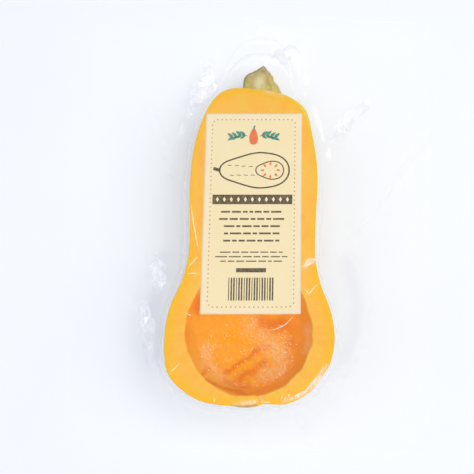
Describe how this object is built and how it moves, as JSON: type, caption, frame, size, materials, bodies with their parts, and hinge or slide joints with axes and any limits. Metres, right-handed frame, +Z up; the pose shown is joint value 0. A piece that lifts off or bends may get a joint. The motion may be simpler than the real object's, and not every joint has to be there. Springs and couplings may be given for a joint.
{
  "type": "vacuum-packed butternut squash half",
  "caption": "Peeled, seeded butternut squash half with its stem stub, lying cut face up, sealed in a clear vacuum film pouch with a plain paper label.",
  "frame": {"origin": "on the table, under the middle of the pouch's outline", "axes": "+Z up out of the table, +Y from the blossom end to the stem, +X across the squash to the right when it is seen from above with the stem away"},
  "size_m": [0.2722, 0.3324, 0.0636],
  "materials": {
    "squash_flesh": "moist peeled flesh",
    "stem_wood": "dry, ribbed",
    "clear_film": "clear, glossy, crinkled",
    "label_paper": "satin printed paper"
  },
  "bodies": {
    "root": {"squash_half": "squash_flesh", "stem": "stem_wood", "front_film": "clear_film", "back_film": "clear_film", "label": "label_paper"}
  },
  "joints": []
}
